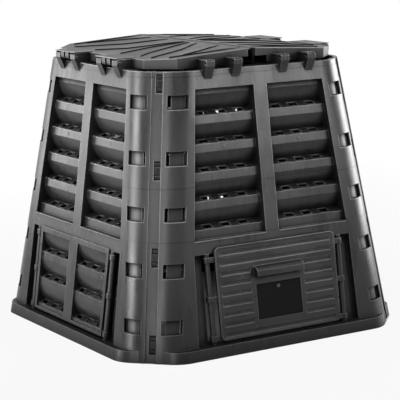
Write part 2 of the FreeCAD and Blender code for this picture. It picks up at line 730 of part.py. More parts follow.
def corner_clip():
    """A clip that holds two walls together behind a window of the corner strip: a plate on the
    strip's back, and a block and two hooks that show in the window."""
    near = "(lobeStart - lobeRadius)"
    back = "(cornerCut + skin * sqrt(2))"
    parts = [clip_part("ClipHead", back, "(cornerCut + 12.4)", "(6 - %s)" % near, "(%s - 1)" % near,
                       "-5", "clipHeight + 10")]
    for name, front, low, high in (("Block", 1.2, 15, 34), ("LowHook", 3, 5, 12), ("HighHook", 3, 37, 44)):
        foot = "clipHeight * %d / 49" % low
        rise = "clipHeight * %d / 49" % (high - low)
        parts.append(clip_part("Clip" + name, "(cornerCut + %s)" % front, "(cornerCut + 9)",
                               "(%s - 24)" % near, "(%s - 3.4)" % near, foot, rise))
    return joined("Clip", parts)


def clips():
    clip = corner_clip()
    copies = []
    for count in range(4):
        foot = clip_level(count)
        copies.append(moved("Clip%d" % (count + 1), clip, "lean * " + foot, "lean * " + foot, foot))
    return copies


def rings(name, edge, front, back, closed):
    """Three rings around the right rod, with lugs that reach back to a panel's edge."""
    outer = "rodRadius + ringWall"
    parts = []
    bore = rounded(name + "Hole", "rodSide", "rodSet", "0", "rodRadius + play", slope("hatchTop"))
    for place in (-1, 0, 1):
        middle = "(ringMiddle + %d * ringSpread)" % place
        low = "%s - ringHeight / 2" % slope(middle)
        label = "%s%d" % (name, place + 2)
        parts.append(rounded(label, "rodSide", "rodSet", low, outer, "ringHeight"))
        lug = block(label + "Lug", (edge, front, low), ("rodSide", back, low + " + ringHeight"))
        parts.append(lug)
    solid = joined(name + "Solid", parts)
    if closed:
        return without(name, solid, bore)
    mouth = block(name + "Mouth", ("rodSide - rodRadius - clawPlay", "rodSet", "0"),
                  ("rodSide + rodRadius + clawPlay", "40", slope("hatchTop")))
    return without(name, solid, joined(name + "Cutters", [bore, mouth]))


def vent():
    """A louvred panel for the lower opening, held on the rods."""
    right = [("ventHalf", "doorBottom"), ("ventHalf", "ventTop")]
    plate = common("VentPlate", slab("VentFaceSlab", "-1 * ventProud", "-1 * seatGap"),
                   through("VentFace", [right + flipped(right)]))
    right = [("ventHalf", "doorBottom"), ("ventHalf", "hatchTop - 1")]
    frame = common("VentFrame", slab("VentSlab", "-1 * ventProud", "ventDepth"),
                   through("VentOutline", [right + flipped(right)]))
    hollow = [("columnInner", "columnBottom"), ("columnOuter", "columnBottom"),
              ("columnOuter", "columnTop"), ("columnInner", "columnTop")]
    opened = without("VentOpen", joined("VentBlank", [plate, frame]), through("VentColumns", both(hollow)))
    return opened


def vent_louvres():
    """The same folded louvres in a vent panel, with fewer shelves and no recess."""
    front = "1"
    outer = [behind(front, "columnTop + 1.5")]
    inner = [behind(front + " + louvreSkin", "columnTop + 1.5")]
    strip = "(columnTop - 8)"
    for count in range(3):
        shelf = "(ventShelf - %d * ventPitch)" % count
        fold = louvre_fold(front, strip, shelf, "ventShelfDepth", "ventRound")
        outer += fold[0]
        inner += fold[1]
        strip = "(%s - ventStrip)" % shelf
    outer.append(behind(front, "columnBottom - 1.5"))
    inner.append(behind(front + " + louvreSkin", "columnBottom - 1.5"))
    folded = spread("FoldedVent", drawing("VentSection", "side", [outer + inner[::-1]]), "2 * halfBase")
    edge = [("columnInner - 1.5", "columnBottom - 1.5"), ("columnOuter + 1.5", "columnBottom - 1.5"),
            ("columnOuter + 1.5", "columnTop + 1.5"), ("columnInner - 1.5", "columnTop + 1.5")]
    return common("VentLouvres", folded, through("VentFill", both(edge)))


def vent_slots():
    cutters = []
    for count in range(3):
        shelf = "(ventShelf - %d * ventPitch)" % count
        middle = "(columnInner + columnOuter) / 2"
        front = "1 + louvreSkin + slotMargin / 2"
        back = "1 + ventShelfDepth - slotMargin / 2"
        cutters.append(slot_cutters("VentSlots%d" % (count + 1), shelf, middle, front, back))
    return cutters


def vent_panel():
    right = leaning("VentRings", rings("VentRing", "ventHalf - 2", "rodSet - 3", "rodSet + 3", False))
    left = mirrored("VentRingsLeft", right)
    full = joined("VentSolid", [vent(), vent_louvres(), right, left])
    return without("Vent", full, joined("VentCutters", vent_slots()))


def rounded_outline(half, low, high, radius):
    """Outline of the door: a rectangle with round corners."""
    right = [
        ("(%s) - (%s)" % (half, radius), slope(low), radius),
        (half, "%s + (%s)" % (slope(low), radius)),
        (half, "%s - (%s)" % (slope(high), radius), radius),
        ("(%s) - (%s)" % (half, radius), slope(high)),
    ]
    return right + flipped(right)


def bars(name, low, high, spans, depth):
    """Grooves of the door front, each between two heights and over the given spans."""
    shapes = []
    front = "-1 * doorProud - 1"
    for place, (start, end) in enumerate(spans):
        label = "%s%d" % (name, place + 1)
        shapes.append(block(label, (start, front, low), (end, "rimDepth + %s - doorProud" % depth, high)))
    return shapes


def door():
    ring = rounded_outline("doorHalf", "doorBottom", "doorTop", "doorRound")
    outline = drawing("DoorOutline", "front", [ring], "-1 * seatGap")
    shell = pushed("DoorBlank", outline, "doorProud - seatGap")
    ring = rounded_outline("doorHalf - doorSkin", "doorBottom + doorSkin", "doorTop - doorSkin",
                           "doorRound - doorSkin")
    inner = drawing("DoorInner", "front", [ring])
    hollow = pushed("DoorHollow", inner, "doorProud - rimDepth - doorSkin")
    edge = "doorHalf - 14"
    gap = "(handleHalf + 11)"
    ring = rounded_outline("doorHalf - doorRim", "doorBottom + doorRim", "doorTop - doorRim",
                           "doorRound - doorRim")
    rim = drawing("DoorField", "front", [ring], "rimDepth - doorProud")
    cutters = [hollow, pushed("DoorFieldCut", rim, "rimDepth + 1")]
    for count in range(9):
        low = "%s - grooveHeight / 2" % slope("(hatchTop - grooveTop - %d * groovePitch)" % count)
        high = low + " + grooveHeight"
        whole = [("-1 * (%s)" % edge, edge)]
        parts = [(gap, edge), ("-1 * (%s)" % edge, "-1 * " + gap)]
        spans = whole if count in (0, 1, 8) else parts
        cutters += bars("Groove%d" % (count + 1), low, high, spans, "grooveDepth")
    field = [("-1 * plateHalf", "plateHalf")]
    cutters += bars("Field", slope("plateBottom"), slope("plateTop"), field, "grooveDepth")
    plain = without("DoorShell", shell, joined("DoorCutters", cutters))
    out = "-1 * doorProud - handleReach"
    base = "rimDepth + 0.5 - doorProud"
    foot, head = slope("handleBottom"), slope("handleTop")
    hood = [(base, head), (out + " + 5", head + " - 6"), (out, head + " - 12"), (out, foot), (base, foot)]
    room = [(base, head + " - 5"), (out + " + 7", head + " - 10"), (out + " + 3", head + " - 14"),
            (out + " + 3", foot + " - 1"), (base, foot + " - 1")]
    hood_block = spread("HoodBlock", drawing("HoodSide", "side", [hood]), "2 * handleHalf")
    hood_room = spread("HoodRoom", drawing("HoodInside", "side", [room]), "2 * handleHalf - 6")
    handle = without("Hood", hood_block, hood_room)
    ribs = []
    for count in (-3, -1, 1, 3):
        spot = "%d * doorRibPitch / 2" % count
        low = (spot + " - ribSkin / 2", "rimDepth + 2 - doorProud", slope("doorBottom + 1"))
        high = (spot + " + ribSkin / 2", "-1 * seatGap - 1", slope("doorTop - 1"))
        ribs.append(block("DoorRib%d" % (count + 4), low, high))
    lug = ("doorHalf - 2.5", "-1 * doorProud + 4", "-1 * seatGap")
    hinge = rings("DoorRing", *lug, True)
    catch = mirrored("DoorCatches", rings("DoorCatch", *lug, False))
    return leaning("DoorLeaning", joined("Door", [plain, handle, hinge, catch] + ribs))


def lid_outline(inset):
    """Plan of the right lid half."""
    return [
        ("lidGap / 2 + (%s)" % inset, "(%s) - lidHalf" % inset),
        ("lidHalf - lidCorner - 0.414 * (%s)" % inset, "(%s) - lidHalf" % inset),
        ("lidHalf - (%s)" % inset, "lidCorner - lidHalf + 0.414 * (%s)" % inset),
        ("lidHalf - (%s)" % inset, "lidHalf - lidCorner - 0.414 * (%s)" % inset),
        ("lidHalf - lidCorner - 0.414 * (%s)" % inset, "lidHalf - (%s)" % inset),
        ("lidGap / 2 + (%s)" % inset, "lidHalf - (%s)" % inset),
    ]


def gable(name, drop, low):
    """Everything below the lid's sloping top."""
    ring = [("0", low), ("lidHalf + 60", low),
            ("lidHalf + 60", "lidEdge - %s - 60 * (lidRidge - lidEdge) / lidHalf" % drop),
            ("0", "lidRidge - %s" % drop)]
    return spread(name, drawing(name + "Front", "front", [ring]), "3 * lidHalf")


def vein(points):
    """Outline of a groove along a bent line in plan, whose points are shares of the lid's half width."""
    near = [("%s * lidHalf" % x, "%s * lidHalf - veinWidth / 2" % y) for x, y in points]
    far = [("%s * lidHalf" % x, "%s * lidHalf + veinWidth / 2" % y) for x, y in points]
    return near + far[::-1]


def lid_veins():
    """The grooves of the lid's top, spread like the veins of a leaf, inside a border."""
    branches = [
        [(0.09, -0.63), (0.68, -0.86)],
        [(0.08, -0.33), (0.52, -0.41), (0.90, -0.69)],
        [(0.10, -0.01), (0.67, -0.07), (0.90, -0.28)],
        [(0.10, 0.03), (0.51, 0.08), (0.90, 0.20)],
        [(0.10, 0.09), (0.72, 0.42), (0.90, 0.56)],
        [(0.09, 0.21), (0.44, 0.51), (0.90, 0.75)],
        [(0.08, 0.57), (0.40, 0.75), (0.64, 0.86)],
    ]
    border = [[(0.05, -0.89), (0.80, -0.89)], [(0.05, 0.89), (0.80, 0.89)]]
    strips = drawing("VeinPlan", "plan", [vein(points) for points in branches + border], "lidEdge - 5")
    depth = gable("VeinFloor", "veinDepth", "lidEdge - 10")
    return [without("Veins", pushed("VeinStrips", strips, "lidRise + 10"), depth)]


def lid_hinge():
    """A plate over a pair of hinge arms, with its two knuckles between the arms."""
    low = "armTop + flapGap"
    plate = block("Flap", ("lidHalf - 12", "armInner - 15", low),
                  ("pinReach + knuckleRadius", "armOuter + 11", low + " + flapSkin"))
    middle = "((armInner + armOuter) / 2)"
    parts = [plate]
    bores = []
    for side in (-1, 1):
        start = "%s + %d * knuckleSpread - knuckleWidth / 2" % (middle, side)
        label = "Knuckle%d" % (side + 2)
        for kind, radius, longer in (("", "knuckleRadius", 0), ("Bore", "pinRadius + play", 2)):
            turned = doc.addObject("Part::Cylinder", label + kind)
            turned.Placement.Rotation = FreeCAD.Rotation(FreeCAD.Vector(1, 0, 0), -90)
            tie(turned, "Radius", radius)
            tie(turned, "Height", "knuckleWidth + %d" % longer)
            tie(turned, ".Placement.Base.x", "pinReach")
            tie(turned, ".Placement.Base.y", start + " - %d" % (longer // 2))
            tie(turned, ".Placement.Base.z", "pinHeight")
            (bores if kind else parts).append(turned)
        parts.append(block(label + "Web", ("pinReach - knuckleRadius", start, "pinHeight"),
                           ("pinReach + knuckleRadius", start + " + knuckleWidth", low + " + 1")))
    solid = joined("HingeSolid", parts)
    return without("HingeHalf", solid, joined("HingeBores", bores))


def lid():
    """The right lid half: one moulding."""
    height = "lidRidge - lidBottom + 5"
    outer = drawing("LidPlan", "plan", [lid_outline("0")], "lidBottom")
    inner = drawing("LidInnerPlan", "plan", [lid_outline("lidSkin")], "lidBottom - 1")
    top = gable("LidTop", "0", "lidBottom")
    underside = gable("LidUnderside", "lidSkin", "lidBottom - 1")
    solid = common("LidSolid", pushed("LidBlank", outer, height), top)
    room = common("LidHollow", pushed("LidRoom", inner, height), underside)
    shell = without("LidShell", solid, room)
    seam = block("SeamOpening", ("0", "lidSkin - lidHalf", "lidBottom - 1"),
                 ("lidSkin + lidGap", "lidHalf - lidSkin", "lidRidge - 16"))
    relief = block("SeamRelief", ("0", "lidHalf - lidSkin - 0.5", "lidBottom - 1"),
                   ("reliefWidth", "lidHalf + 1", "lidRidge - lidSkin - 1"))
    grips = []
    ends = (("FrontGrip", "-1 * lidHalf - 1", "5 - lidHalf"), ("BackGrip", "lidHalf - 5", "lidHalf + 1"))
    for name, start, end in ends:
        grips.append(block(name, ("gripInset", start, "lidBottom - 1"),
                           ("gripInset + gripWidth", end, "lidBottom + gripHeight")))
    ribs = []
    for count in (-3, -1, 1, 3):
        spot = "%d * lidRibPitch / 2" % count
        low = ("lidGap / 2 + 1", spot + " - ribSkin / 2", "lidRidge - 30")
        high = ("lidHalf - 1", spot + " + ribSkin / 2", "lidRidge")
        ribs.append(block("LidRib%d" % (count + 4), low, high))
    kept = common("LidRibs", joined("RibBars", ribs), gable("RibLimit", "1", "lidRidge - 40"))
    pads = []
    for spot in ("padInner", "padOuter"):
        for name, start in (("Front", "1 - lidHalf"), ("Back", "lidHalf - 9")):
            low = (spot, start, "wallHeight + padGap")
            pads.append(block(name + spot, low, (spot + " + 12", start + " + 8", "lidBottom + 12")))
    near = lid_hinge()
    far = doc.addObject("Part::Mirroring", "FarHinge")
    far.Source = near
    far.Normal = FreeCAD.Vector(0, 1, 0)
    cut = without("LidCut", shell, joined("LidCutters", [seam, relief] + grips + lid_veins()))
    return joined("Lid", [cut, kept, near, far] + pads)


def lid_pins():
    """The two pins of the right lid half, each through a pair of arms."""
    pins = []
    for name, turn, side in (("BackPin", -90, 1), ("FrontPin", 90, -1)):
        start = "%d * (armInner - armWidth / 2 - 1)" % side
        shaft = doc.addObject("Part::Cylinder", name + "Shaft")
        head = doc.addObject("Part::Cylinder", name + "Head")
        tie(shaft, "Radius", "pinRadius")
        tie(shaft, "Height", "armOuter - armInner + armWidth + 2")
        tie(head, "Radius", "pinRadius + 2")
        tie(head, "Height", "2.5")
        end = "%d * (armOuter + armWidth / 2)" % side
        for part, spot in ((shaft, start), (head, end)):
            part.Placement.Rotation = FreeCAD.Rotation(FreeCAD.Vector(1, 0, 0), turn)
            tie(part, ".Placement.Base.x", "pinReach")
            tie(part, ".Placement.Base.y", spot)
            tie(part, ".Placement.Base.z", "pinHeight")
        pins.append(joined(name, [shaft, head]))
    return pins


walls = (("front", 0), ("right", 90), ("back", 180), ("left", 270))
nodes = []
wall_shape = wall()
clip_shapes = clips()
corners = ("front_left", "front_right", "back_right", "back_left")
for (side, turn), corner in zip(walls, corners):
    nodes.append(piece("wall_" + side, [wall_shape], turn))
    nodes.append(piece("clips_" + corner, clip_shapes, turn))

rod_shapes = rod_pair("Rod", "rodRadius", "rodEndPlay")
vent_shape = vent_panel()
for side, turn in walls[1:]:
    nodes.append(piece("vent_" + side, [vent_shape], turn))
    nodes.append(piece("rods_" + side, rod_shapes, turn))

nodes.append(piece("door", [door()]))
nodes.append(piece("door_hinge_rod", rod_shapes[:1]))
nodes.append(piece("door_latch_rod", rod_shapes[1:]))

lid_shape = lid()
pin_shapes = lid_pins()
for side, turn in (("right", 0), ("left", 180)):
    nodes.append(piece("lid_" + side, [lid_shape], turn))
    nodes.append(piece("lid_pins_" + side, pin_shapes, turn))

doc.recompute()
for thing in doc.Objects:
    if "Invalid" in thing.State or "Error" in thing.State:
        raise RuntimeError("%s is %s" % (thing.Label, thing.State))
    if hasattr(thing, "Shape") and (thing.Shape.isNull() or not thing.Shape.isValid()):
        raise RuntimeError("%s has no valid shape" % thing.Label)

os.makedirs("parts", exist_ok=True)
for node in nodes:
    node.Shape.exportStep(os.path.join("parts", node.Label + ".step"))
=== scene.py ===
import bpy
import math
from mathutils import Matrix, Vector


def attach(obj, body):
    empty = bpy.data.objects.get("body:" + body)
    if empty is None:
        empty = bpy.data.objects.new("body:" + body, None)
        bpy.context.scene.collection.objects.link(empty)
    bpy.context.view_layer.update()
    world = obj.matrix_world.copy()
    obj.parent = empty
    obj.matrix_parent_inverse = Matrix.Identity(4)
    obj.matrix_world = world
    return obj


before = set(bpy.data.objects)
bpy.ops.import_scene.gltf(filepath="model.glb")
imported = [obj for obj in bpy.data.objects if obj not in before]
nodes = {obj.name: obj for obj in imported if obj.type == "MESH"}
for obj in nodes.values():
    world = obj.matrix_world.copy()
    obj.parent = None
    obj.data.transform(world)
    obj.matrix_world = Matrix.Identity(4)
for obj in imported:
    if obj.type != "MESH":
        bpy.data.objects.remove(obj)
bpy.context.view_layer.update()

wallLean = 0.137  # how far a wall leans in for each metre of height
binHalf = 0.428  # from the middle to a wall's face at the ground
wallNames = ("Front", "Right", "Back", "Left")  # each a quarter turn on from the one before
halves = ((-1, "A"), (1, "B"))  # a wall's two halves, left and right of its middle
raySamples = {"hollow": 5, "wornEdge": 5, "softEdge": 4}  # rays that look round each spot
sharpFrom = math.radians(35)  # edges that turn more than this stay sharp
squareOn = 0.9  # least part of a normal along an axis for its face to count as facing that way


def newMaterial(name):
    material = bpy.data.materials.new(name)
    material.use_nodes = True
    return material, material.node_tree


def addNoise(tree, coords, scale, detail, roughness=0.5):
    noise = tree.nodes.new("ShaderNodeTexNoise")
    noise.inputs["Scale"].default_value = scale
    noise.inputs["Detail"].default_value = detail
    noise.inputs["Roughness"].default_value = roughness
    tree.links.new(coords, noise.inputs["Vector"])
    return noise.outputs["Fac"]


def addRange(tree, value, span, toMin=0.0, toMax=1.0):
    # the first value of the span becomes toMin and the second toMax
    ranger = tree.nodes.new("ShaderNodeMapRange")
    ranger.inputs["From Min"].default_value, ranger.inputs["From Max"].default_value = span
    ranger.inputs["To Min"].default_value = toMin
    ranger.inputs["To Max"].default_value = toMax
    tree.links.new(value, ranger.inputs["Value"])
    return ranger.outputs["Result"]


def addMath(tree, operation, first, second=0.0, third=0.0):
    node = tree.nodes.new("ShaderNodeMath")
    node.operation = operation
    for place, value in enumerate((first, second, third)):
        if isinstance(value, (int, float)):
            node.inputs[place].default_value = value
        else:
            tree.links.new(value, node.inputs[place])
    return node.outputs[0]


def addProduct(tree, first, second):
    return addMath(tree, "MULTIPLY", first, second)


def addTint(tree, amount, base, tint):
    mix = tree.nodes.new("ShaderNodeMix")
    mix.data_type = "RGBA"
    tree.links.new(amount, mix.inputs["Factor"])
    for socket, colour in ((mix.inputs["A"], base), (mix.inputs["B"], tint)):
        if isinstance(colour, tuple):
            socket.default_value = (*colour, 1)
        else:
            tree.links.new(colour, socket)
    return mix.outputs["Result"]


def addOpenness(tree, reach, normal=None):
    hollow = tree.nodes.new("ShaderNodeAmbientOcclusion")
    hollow.samples = raySamples["hollow"]
    hollow.inputs["Distance"].default_value = reach
    if normal:
        tree.links.new(normal, hollow.inputs["Normal"])
    return hollow.outputs["AO"]


def addSkyShade(tree, reach):
    # how open a place is to light from above, so that it is dark just under an overhang
    surface = tree.nodes.new("ShaderNodeNewGeometry")
    raised = tree.nodes.new("ShaderNodeVectorMath")
    raised.operation = "ADD"
    tree.links.new(surface.outputs["Normal"], raised.inputs[0])
    raised.inputs[1].default_value = (0, 0, 1)
    tilted = tree.nodes.new("ShaderNodeVectorMath")
    tilted.operation = "NORMALIZE"
    tree.links.new(raised.outputs["Vector"], tilted.inputs[0])
    return addOpenness(tree, reach, tilted.outputs["Vector"])


def edgeMask(tree, look):
    # an edge is where a rounded normal leaves the flat one; the painted highlight is lightest on
    # edges that face up, as light falls from above
    rounded = tree.nodes.new("ShaderNodeBevel")
    rounded.samples = raySamples["wornEdge"]
    rounded.inputs["Radius"].default_value = look["edgeHighlightWidth"]
    surface = tree.nodes.new("ShaderNodeNewGeometry")
    match = tree.nodes.new("ShaderNodeVectorMath")
    match.operation = "DOT_PRODUCT"
    tree.links.new(rounded.outputs["Normal"], match.inputs[0])
    tree.links.new(surface.outputs["Normal"], match.inputs[1])
    edges = addRange(tree, match.outputs["Value"], look["edgeSpan"])
    facing = tree.nodes.new("ShaderNodeSeparateXYZ")
    tree.links.new(rounded.outputs["Normal"], facing.inputs["Vector"])
    upward = addRange(tree, facing.outputs["Z"], look["upwardSpan"], look["downwardHighlight"])
    return addProduct(tree, edges, upward)


def mouldLines(tree, parts, look):
    # fine upright lines on the band under the rim, and the level lines where tool inserts meet
    along = parts.outputs[look["lineAxis"]]
    height = parts.outputs["Z"]
    halfLine = look["lineWidth"] / 2
    cycle = addMath(tree, "FRACT", addMath(tree, "DIVIDE", along, look["linePitch"]))
    upright = addMath(tree, "COMPARE", cycle, 0.5, halfLine / look["linePitch"])
    band = addMath(tree, "GREATER_THAN", height, look["bandFoot"])
    marks = addProduct(tree, addProduct(tree, upright, band), look["uprightAmount"])
    for level in look["levels"]:
        levelLine = addMath(tree, "COMPARE", height, level, halfLine)
        marks = addMath(tree, "MAXIMUM", marks, levelLine)
    return marks


def plateField(tree, parts, look):
    # the bare sunk field in the middle of the door's front, and nothing behind it
    aside = addMath(tree, "ABSOLUTE", parts.outputs["X"])
    inside = addMath(tree, "LESS_THAN", aside, look["fieldHalf"])
    height = parts.outputs["Z"]
    inside = addProduct(tree, inside, addMath(tree, "GREATER_THAN", height, look["fieldFoot"]))
    inside = addProduct(tree, inside, addMath(tree, "LESS_THAN", height, look["fieldTop"]))
    depth = addMath(tree, "ADD", parts.outputs["Y"], binHalf)
    depth = addMath(tree, "SUBTRACT", depth, addProduct(tree, height, wallLean))
    return addProduct(tree, inside, addMath(tree, "LESS_THAN", depth, look["fieldDepth"]))


def mouldedPlastic(name, look):
    # satin recycled polypropylene: flow clouds, upright streaks, painted shade in hollows, painted
    # highlights on edges
    material, tree = newMaterial(name)
    shader = tree.nodes["Principled BSDF"]
    coords = tree.nodes.new("ShaderNodeTexCoord").outputs["Object"]
    parts = tree.nodes.new("ShaderNodeSeparateXYZ")
    tree.links.new(coords, parts.inputs["Vector"])

    clouds = addNoise(tree, coords, look["cloudScale"], detail=4)
    stretch = tree.nodes.new("ShaderNodeMapping")
    stretch.inputs["Scale"].default_value = look["streakScale"]
    tree.links.new(coords, stretch.inputs["Vector"])
    streaks = addNoise(tree, stretch.outputs["Vector"], 1.0, detail=3)
    specks = addNoise(tree, coords, look["speckScale"], detail=2)
    peel = addNoise(tree, coords, look["peelScale"], detail=3, roughness=0.6)
    waves = addNoise(tree, coords, look["waveScale"], detail=1)

    cloudPart = addRange(tree, clouds, look["flowSpan"], 0, look["cloudShare"])
    streakPart = addRange(tree, streaks, look["flowSpan"], 0, 1 - look["cloudShare"])
    flow = addMath(tree, "ADD", cloudPart, streakPart)
    tone = addTint(tree, flow, look["dark"], look["light"])
    speckled = addRange(tree, specks, look["speckSpan"], 0, look["speckAmount"])
    tone = addTint(tree, speckled, tone, look["speck"])

    # painted shade: the colour darkens in wide hollows, in fine crevices and under overhangs, and
    # the shine drops there
    openness = addOpenness(tree, look["hollowShadeReach"])
    paintedShade = addRange(tree, openness, look["hollowShadeSpan"], look["hollowShadeAmount"], 0)
    narrow = addOpenness(tree, look["creviceReach"])
    crevice = addRange(tree, narrow, look["creviceSpan"], look["creviceAmount"], 0)
    sky = addSkyShade(tree, look["coverReach"])
    covered = addRange(tree, sky, look["coverSpan"], look["coverAmount"], 0)
    shade = addMath(tree, "MAXIMUM", addMath(tree, "MAXIMUM", paintedShade, crevice), covered)
    tone = addTint(tree, shade, tone, look["paintedShade"])

    # painted highlight along open edges, where light catches them, broken up in patches by the
    # clouds
    highlightPatches = addRange(tree, clouds, look["highlightPatchSpan"], look["leastHighlightPatch"])
    edges = edgeMask(tree, look)
    edgeHighlight = addProduct(tree, edges, addRange(tree, openness, look["edgeHighlightSpan"]))
    edgeHighlight = addProduct(tree, addProduct(tree, edgeHighlight, highlightPatches), look["edgeHighlightAmount"])
    tone = addTint(tree, edgeHighlight, tone, look["edgeHighlight"])

    # darker towards the bottom, in patches
    low = addRange(tree, parts.outputs["Z"], (0.0, look["lowToneHeight"]), look["lowToneAmount"], 0)
    patches = addRange(tree, clouds, look["lowToneSpan"], look["leastLowTone"])
    tone = addTint(tree, addProduct(tree, low, patches), tone, look["lowTone"])

    relief = addProduct(tree, peel, look["peelDepth"])
    relief = addMath(tree, "ADD", relief, addProduct(tree, waves, look["waveDepth"]))
    if "lineAxis" in look:
        lines = mouldLines(tree, parts, look)
        # the lines are darkened in the painted shade colour, for the shade in their fine grooves
        tone = addTint(tree, addProduct(tree, lines, look["lineAmount"]), tone, look["paintedShade"])
        relief = addMath(tree, "SUBTRACT", relief, addProduct(tree, lines, look["lineDepth"]))
    rough = addRange(tree, flow, look["roughSpan"], look["roughLow"], look["roughHigh"])
    rough = addMath(tree, "ADD", rough, addProduct(tree, paintedShade, look["hollowShadeRough"]))
    dullShine = look["specular"] * look["shadeShine"]
    shine = addRange(tree, shade, look["shadeSpan"], look["specular"], dullShine)
    if "fieldHalf" in look:
        field = plateField(tree, parts, look)
        tone = addTint(tree, field, tone, look["fieldTone"])
        rough = addMath(tree, "ADD", rough, addProduct(tree, field, look["fieldRough"]))
        shine = addProduct(tree, shine, addRange(tree, field, (0, 1), 1, look["fieldShine"]))
    # painted shade along the seam where the two lids meet, for the shaded gap between them, with
    # less shine
    if "seamHalf" in look:
        seam = addMath(tree, "COMPARE", parts.outputs["X"], 0, look["seamHalf"])
        tone = addTint(tree, seam, tone, look["paintedShade"])
        shine = addProduct(tree, shine, addRange(tree, seam, (0, 1), 1, look["seamShine"]))
    tree.links.new(tone, shader.inputs["Base Color"])
    tree.links.new(rough, shader.inputs["Roughness"])

    softEdge = tree.nodes.new("ShaderNodeBevel")
    softEdge.samples = raySamples["softEdge"]
    softEdge.inputs["Radius"].default_value = look["edgeRound"]
    bump = tree.nodes.new("ShaderNodeBump")
    bump.inputs["Strength"].default_value = 1.0
    bump.inputs["Distance"].default_value = 1.0  # the relief is in metres
    tree.links.new(relief, bump.inputs["Height"])
    tree.links.new(softEdge.outputs["Normal"], bump.inputs["Normal"])
    tree.links.new(bump.outputs["Normal"], shader.inputs["Normal"])
    tree.links.new(shine, shader.inputs["Specular IOR Level"])
    return material


def dress(names, material):
    for name in names:
        for slot in nodes[name].material_slots:
            slot.material = material


# a span holds the two values of a pattern between which an effect fades in or out
plainLook = {
    "dark": (0.0095, 0.0095, 0.0098), "light": (0.025, 0.025, 0.0257),
    "cloudScale": 5.0, "streakScale": (38.0, 38.0, 3.0),
    "flowSpan": (0.35, 0.65), "cloudShare": 0.6,
    "speck": (0.09, 0.091, 0.093), "speckScale": 700.0, "speckSpan": (0.66, 0.74),
    "speckAmount": 0.25,
    "paintedShade": (0.004, 0.004, 0.0042), "hollowShadeReach": 0.07, "hollowShadeSpan": (0.3, 0.88),
    "hollowShadeAmount": 1.0, "hollowShadeRough": 0.35,
    "creviceReach": 0.004, "creviceSpan": (0.35, 0.8), "creviceAmount": 0.8,
    "coverReach": 0.03, "coverSpan": (0.3, 0.74), "coverAmount": 1.0,
    "edgeHighlight": (0.5, 0.5, 0.505), "edgeHighlightWidth": 0.0036, "edgeHighlightSpan": (0.46, 0.7), "edgeHighlightAmount": 0.95,
    "edgeSpan": (0.985, 0.80), "upwardSpan": (-0.2, 0.4), "downwardHighlight": 0.1,
    "highlightPatchSpan": (0.3, 0.6), "leastHighlightPatch": 0.45, "edgeRound": 0.0014,
    "lowTone": (0.0055, 0.0053, 0.005), "lowToneHeight": 0.4, "lowToneAmount": 0.9,
    "lowToneSpan": (0.3, 0.7), "leastLowTone": 0.6,
    "roughSpan": (0.2, 0.8), "roughLow": 0.22, "roughHigh": 0.36,
    "specular": 0.26, "shadeSpan": (0.1, 0.8), "shadeShine": 0.12,
    "peelScale": 900.0, "peelDepth": 0.00012, "waveScale": 9.0, "waveDepth": 0.0012,
}
frontLook = dict(
    plainLook, lineAxis="X", linePitch=0.03, lineWidth=0.0022, lineAmount=0.8, lineDepth=0.0009,
    bandFoot=0.694, uprightAmount=0.7, levels=(0.726, 0.442, 0.306),
)
sideLook = dict(frontLook, lineAxis="Y")
panelLook = dict(plainLook, cloudScale=7.0)
doorLook = dict(
    plainLook, cloudScale=6.0, streakScale=(3.0, 3.0, 60.0),
    fieldHalf=0.072, fieldFoot=0.077, fieldTop=0.17, fieldDepth=-0.0047,
    fieldTone=(0.0022, 0.0022, 0.0024), fieldRough=0.15, fieldShine=0.25,
)
# the lid is coloured lighter than the walls as painted light, for the light its top catches from
# above
paintedLightLidLook = dict(
    plainLook, dark=(0.019, 0.019, 0.02), light=(0.04, 0.04, 0.041), cloudScale=4.0,
    streakScale=(5.0, 30.0, 30.0), lowToneAmount=0.0, creviceReach=0.006, creviceAmount=1.0,
    specular=0.22, roughLow=0.32, roughHigh=0.46, seamHalf=0.009, seamShine=0.2,
)
# the clips are coloured near black with little shine, as painted shade for the shade in their
# windows
shadedClipLook = dict(
    plainLook, dark=(0.003, 0.003, 0.0032), light=(0.006, 0.006, 0.0064), cloudScale=25.0,
    edgeHighlightAmount=0.3, specular=0.1,
)
rodLook = dict(plainLook, cloudScale=18.0, roughLow=0.3, roughHigh=0.38)

vents = [name for name in nodes if name.startswith("vent_")]
clips = [name for name in nodes if name.startswith("clips_")]
rods = [name for name in nodes if "rod" in name]
pins = [name for name in nodes if name.startswith("lid_pins")]
dress(["wall_front", "wall_back"], mouldedPlastic("satinWallPlasticAcross", frontLook))
dress(["wall_left", "wall_right"], mouldedPlastic("satinWallPlasticAlong", sideLook))
dress(vents, mouldedPlastic("satinVentPlastic", panelLook))
dress(["door"], mouldedPlastic("satinDoorPlastic", doorLook))
dress(["lid_left", "lid_right"], mouldedPlastic("satinLidPlastic", paintedLightLidLook))
dress(clips, mouldedPlastic("clipShadedPlastic", shadedClipLook))
dress(rods + pins, mouldedPlastic("smoothRodPlastic", rodLook))
print("bin parts dressed")

